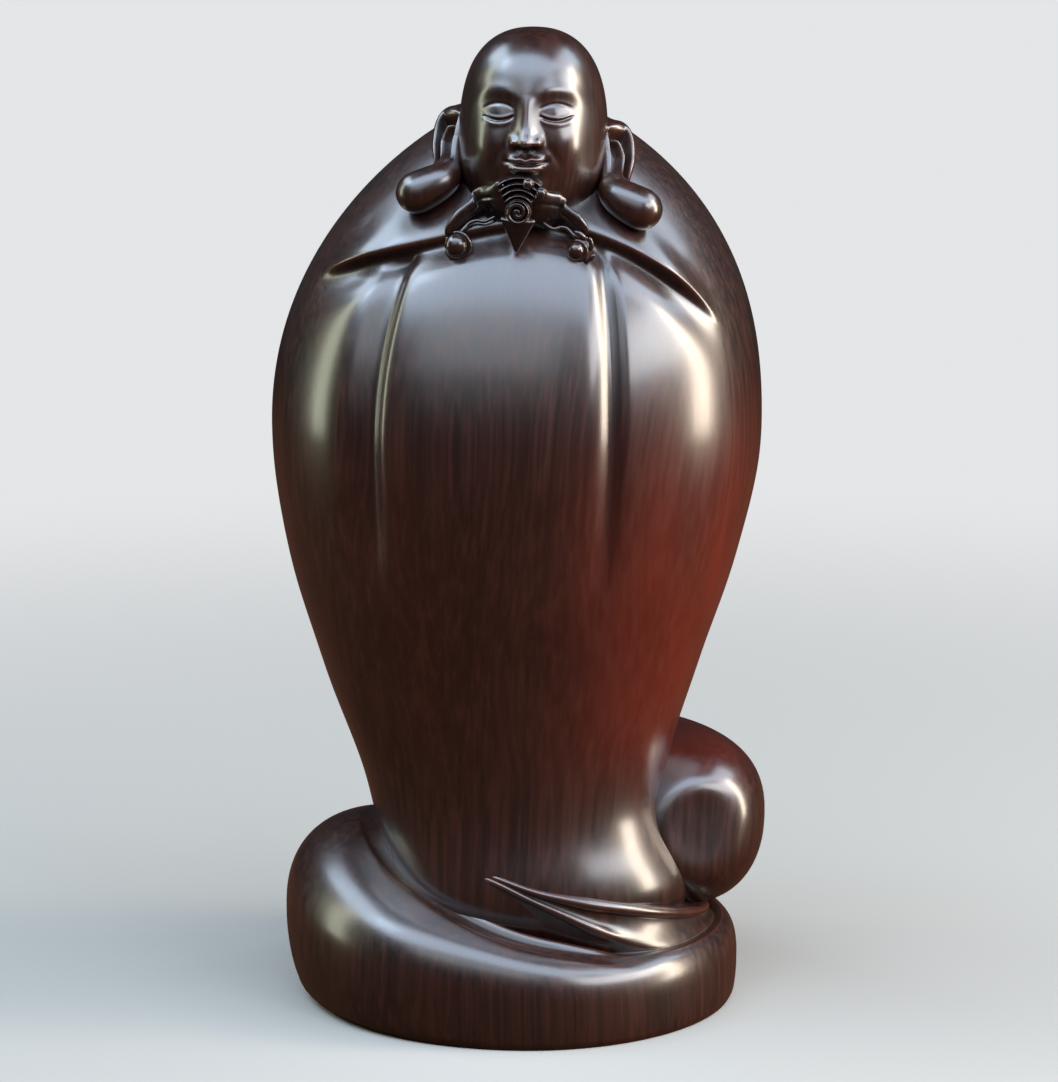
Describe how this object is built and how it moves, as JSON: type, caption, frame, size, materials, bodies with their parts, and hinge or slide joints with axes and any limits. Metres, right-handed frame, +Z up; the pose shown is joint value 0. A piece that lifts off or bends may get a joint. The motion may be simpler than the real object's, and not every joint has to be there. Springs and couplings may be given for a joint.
{
  "type": "carved wooden buddha statue",
  "caption": "Bald, long-eared monk's head leaning out of a swelling robe that tapers to a coiled foot, with a leaf-and-scroll clasp under the chin; carved dark hardwood.",
  "frame": {"origin": "middle of the round foot, on the ground", "axes": "+Z up, the figure faces -Y, +X is the figure's left"},
  "size_m": [0.1004, 0.0902, 0.1985],
  "materials": {
    "robe_wood": "dark reddish-brown hardwood, waxed and polished to a satin sheen",
    "head_wood": "the same hardwood, finer and a little glossier",
    "clasp_wood": "the same hardwood, darker in the carved hollows",
    "dowel_wood": "plain pale bamboo, unpolished"
  },
  "bodies": {
    "root": {"robe_body": "robe_wood", "base_fold": "robe_wood", "back_coil": "robe_wood", "head": "head_wood", "ear_left": "head_wood", "ear_right": "head_wood", "clasp_scroll": "clasp_wood", "clasp_leaf_left": "clasp_wood", "clasp_leaf_right": "clasp_wood", "clasp_bead": "clasp_wood", "clasp_rosette": "clasp_wood", "base_dowel_left": "dowel_wood", "base_dowel_right": "dowel_wood", "coil_dowel_front": "dowel_wood", "coil_dowel_back": "dowel_wood", "neck_dowel": "dowel_wood", "ear_peg_left": "dowel_wood", "ear_peg_right": "dowel_wood", "clasp_peg": "dowel_wood"}
  },
  "joints": []
}
